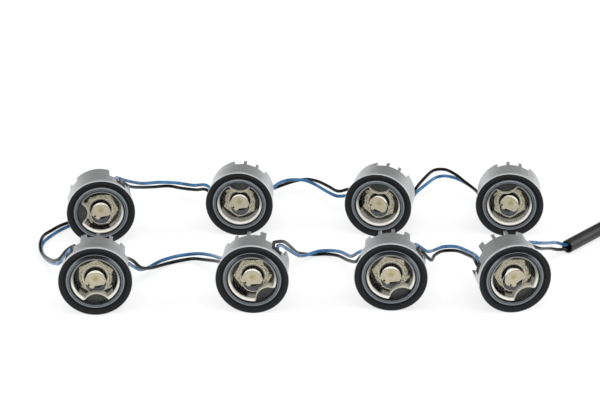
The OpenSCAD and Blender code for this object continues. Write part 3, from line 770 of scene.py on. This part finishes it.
def make_window():
    """Clear window with a raised middle and a thinner edge under the ring."""
    return turned("window", [
        (10.2, -2.35), (10.2, -0.6), (AXIS_GAP, -0.6), (AXIS_GAP, -0.1), (11.5, -0.1), (11.6, -0.2),
        (11.6, -1.4), (12.1, -1.4), (12.1, -2.4), (10.3, -2.4)], closed=True)


def make_bowl():
    """Outer part of the collimator: its rim, a deep inner wall, a floor and the bite in its side."""
    bowl = turned("bowl", [
        (OPTIC_R, OPTIC_TOP - 0.2), (OPTIC_R - 0.12, OPTIC_TOP), (9.45, OPTIC_TOP), (9.25, OPTIC_TOP - 0.15),
        (9.05, -1.5), (8.7, -3.2), (8.45, -4.7), (8.2, -4.95), (WELL_R + 0.05, -5.0), (WELL_R + 0.05, -5.6),
        (9.0, -5.6), (9.1, OPTIC_FOOT), (OPTIC_R, OPTIC_FOOT)], closed=True)
    return finish_mesh(cut_by(bowl, bite_bar(-8)))


def make_well():
    """Round well in the middle of the board, with a thin raised lip."""
    return turned("well", [
        (WELL_R + 0.04, -6.5), (WELL_R + 0.04, BOARD_TOP + 0.1), (WELL_R + 0.16, BOARD_TOP + 0.13),
        (WELL_R + 0.16, BOARD_TOP + 0.18), (WELL_R, BOARD_TOP + 0.18), (WELL_R - 0.1, BOARD_TOP + 0.05),
        (WELL_R - 0.3, -6.3), (AXIS_GAP, -6.3), (AXIS_GAP, -6.5)], closed=True)


def make_pocket(i):
    """Slate dish with a thin rim that shows as a crescent of painted highlight below the plate, whatever the
    lamp's roll.
    """
    drop, cut_r, cut_up = 2.7, 4.3, 1.7
    down = turn(-90 - LAMPS[i - 1][3], "Z")
    pocket = turned("pocket", [
        (AXIS_GAP, -4.26), (AXIS_GAP, -4.12), (4.1, -4.12), (4.2, -3.92), (4.42, -3.92), (4.46, -4.26)],
        closed=True)
    pocket.data.transform(Matrix.Translation(down @ Vector((drop * MM, 0, 0))))
    cut_by(pocket, round_bar(cut_r, -5, 0, (down @ Vector((-cut_up, 0, 0))).xy))
    return finish_mesh(cut_by(pocket, bite_bar(-5, FIT)))


def make_board():
    """Six-sided pale board around the well, with a small round hole near each corner."""
    first_corner, hole_r, hole_away = 24, 0.24, 6.95
    board = round_bar(7.9, -4.96, BOARD_TOP, steps=6)
    board.data.transform(turn(first_corner, "Z"))
    cut_by(board, round_bar(WELL_R + 0.06, -5.5, 0))
    cut_by(board, bite_bar(-5.5, FIT))
    for k in range(6):
        a = math.radians(first_corner + 60 * k)
        cut_by(board, round_bar(hole_r, -6, 0, (hole_away * math.cos(a), hole_away * math.sin(a)), 16))
    return softened(board, 0.14)


def make_plate():
    """Emitter as the lens shows it: an arched plate with a flat lower side, a tab and a small hole."""
    bottom, top, squash, flat_x = -1.5, -1.05, 0.8, 2.35
    plate = round_bar(4.2, bottom, top, steps=64)
    plate.data.transform(Matrix.Diagonal((squash, 1, 1, 1)))
    only(plate)
    bpy.ops.object.mode_set(mode="EDIT")
    bpy.ops.mesh.select_all(action="SELECT")
    bpy.ops.mesh.bisect(plane_co=(flat_x * MM, 0, 0), plane_no=(1, 0.14, 0), use_fill=True, clear_outer=True)
    bpy.ops.object.mode_set(mode="OBJECT")
    finish_mesh(plate)
    cut_by(plate, round_bar(0.95, bottom, top, (2.5, -1.4), 32), "UNION")
    cut_by(plate, round_bar(0.5, -4, 0, (1.95, -2.75), 24))
    return softened(plate, 0.1)


def make_collar():
    """White dome collar below the emitter plate, with the stem that it stands on."""
    return turned("collar", [
        (2.2, -6.35), (2.2, -4.2), (3.2, -3.4), (3.8, -2.6), (3.9, -2.25), (3.75, -2.0), (3.4, -1.92),
        (2.4, -1.9), (2.3, -1.45)])


def make_bite_wall():
    """Thin pale wall along the bite."""
    bottom, top, wall_r = -5.4, -0.7, BITE_R + STRIP_T - FIT
    wall = turned("bite_wall", [(BITE_R, bottom), (BITE_R, top), (wall_r, top), (wall_r, bottom)], closed=True)
    cut_by(shift(wall, BITE_X), round_bar(9.35, -6, 0), "INTERSECT")
    return softened(wall, 0.06)


def place_copies(master, base, material, directions=None, lamps=LAMP_NUMBERS):
    """Puts a copy of a master piece in each lamp, and keeps the lamp's own coordinates in its mesh.

    Where directions are given, a copy is turned to its own direction, whatever the lamp's roll."""
    kept = master.data.attributes.new("lamp_mm", "FLOAT_VECTOR", "POINT")
    kept.data.foreach_set("vector", [c / MM for vertex in master.data.vertices for c in vertex.co])
    master.data.materials.clear()
    master.data.materials.append(material)
    copies = []
    for i in lamps:
        piece = bpy.data.objects.new(f"{base}_{i}", master.data.copy())
        bpy.context.scene.collection.objects.link(piece)
        local = lamp_matrix(i)
        local.translation *= MM
        if directions:
            local = local @ turn(directions[i - 1] - LAMPS[i - 1][3], "Z")
        piece.data.transform(local)
        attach(piece, "root")
        copies.append(piece)
    bpy.data.objects.remove(master)
    return copies


# Optics. The directions are those of each emitter plate's tab, seen from the front.
PLATE_DIRECTIONS = [-62, -90, -93, -90, -90, -90, -120, -120]

bowls = place_copies(make_bowl(), "optic_bowl", bowl_finish())
for i, bowl in zip(LAMP_NUMBERS, bowls):
    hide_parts(f"collimator_{i}")
place_copies(make_well(), "optic_well", well_finish())
slate = pocket_finish()
for i in LAMP_NUMBERS:
    place_copies(make_pocket(i), "optic_pocket", slate, lamps=[i])
place_copies(make_board(), "board_face", board_finish())
place_copies(make_collar(), "emitter_collar", collar_finish())
place_copies(make_plate(), "emitter_plate", plate_finish(), PLATE_DIRECTIONS)
panes = place_copies(make_window(), "pane", window_finish())
only(panes[0])
for pane in panes:
    pane.select_set(True)
bpy.ops.object.join()
panes[0].name = "window_panes"
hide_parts("windows")
pale_wall = plain("pale_wall", "#d6d4ca", "#f2f1ea", roughness=0.25, grain=400)
place_copies(make_bite_wall(), "bite_wall", pale_wall)

# Finishes of the nodes that come from the frame
finishes = {
    "lens_holders": plain("slate_holder", "#2c3034", "#50565b", roughness=0.42),
    "led_emitters": plain("phosphor", "#b59a35", "#d8c05a", roughness=0.3, grain=900),
    "gaskets": rubber("gasket_rubber", "#0e0e0e", "#1b1b1b"),
    "board_screws": plain("screw_steel", "#8e9092", "#b5b7b8", roughness=0.3, grain=2200, metallic=0.9),
    "wire_grommets": rubber("grommet_rubber"),
    "splice_sleeve": sleeve_finish(),
    "plug_body": rubber("plug_rubber", "#151516", "#252627", grain=2400),
    "plug_pins": plain("contact_brass", "#b08a3c", "#d3ab57", roughness=0.25, grain=1600, metallic=0.95),
}
solder_mask = plain("solder_mask", "#b8b090", "#cfc8ab", roughness=0.4, grain=1200)
for i in LAMP_NUMBERS:
    finishes[f"heatsink_{i}"] = cast_metal(i)
    finishes[f"front_ring_{i}"] = ring_finish(i)
    finishes[f"led_board_{i}"] = solder_mask
for name, material in finishes.items():
    for material_slot in nodes[name].material_slots:
        material_slot.material = material

# White studio: a sky that is white to the camera and to glass, dark above the horizon in what metal mirrors,
# and plain grey as a light
DARKENING, DARK_ABOVE, DARK_BAND, SKY_LIGHT = 0.9, 0.17, 0.3, 0.6
sky = Finish("studio_sky", bpy.data.worlds.new("studio_sky"))
up = sky.axes(sky.node("ShaderNodeTexCoord"))[2]
seen = sky.node("ShaderNodeLightPath", out="Is Camera Ray").math(
    "MAXIMUM", sky.node("ShaderNodeLightPath", out="Is Transmission Ray"))
mirrored = sky.node("ShaderNodeLightPath", out="Is Glossy Ray")
open_sky = mirrored * (1 - DARKENING * up.above(DARK_ABOVE, soft=DARK_BAND)) + (1 - mirrored) * SKY_LIGHT
white = {"Color": (1, 1, 1, 1), "Strength": seen + (1 - seen) * open_sky}
bpy.context.scene.world = sky.done(sky.node("ShaderNodeBackground", None, white), "ShaderNodeOutputWorld")

# Pale floor that keeps the shadows: part matte, and part glow for the camera and for reflections
FLOOR_SIZE, FLOOR_SHADE, GLOW_LEVEL, GLOW_SHARE = 6000, (0.88, 0.88, 0.88, 1), 1.06, 0.68
deselect()
bpy.ops.mesh.primitive_plane_add(size=FLOOR_SIZE * MM, location=(0, 0, 0))
floor = bpy.context.object
floor.name = "studio_floor"
f = Finish("studio_floor")
matte = f.node("ShaderNodeBsdfDiffuse", None, {"Color": FLOOR_SHADE})
glow = f.node("ShaderNodeEmission", None, {"Color": (1, 1, 1, 1), "Strength": GLOW_LEVEL})
glowing = f.node("ShaderNodeLightPath", out="Is Camera Ray").math(
    "MAXIMUM", f.node("ShaderNodeLightPath", out="Is Glossy Ray"))
floor.data.materials.append(f.done(
    f.node("ShaderNodeMixShader", None, {0: glowing * GLOW_SHARE, 1: matte, 2: glow})))


def softbox(name, place, size, watts):
    """Rectangular light that faces the middle of the string; its place and size are in metres."""
    data = bpy.data.lights.new(name, "AREA")
    data.shape = "RECTANGLE"
    data.size, data.size_y = size
    data.energy = watts
    light = bpy.data.objects.new(name, data)
    bpy.context.scene.collection.objects.link(light)
    light.location = place
    light.rotation_euler = (-Vector(place)).to_track_quat("-Z", "Y").to_euler()


softbox("key", place=(0.1, -0.5, 1.2), size=(1.2, 0.8), watts=9)
softbox("left", place=(-1.1, -0.1, 0.55), size=(0.7, 0.7), watts=4)
softbox("right", place=(1.1, 0.1, 0.55), size=(0.7, 0.7), watts=5)

bpy.context.scene.view_settings.view_transform = "Standard"
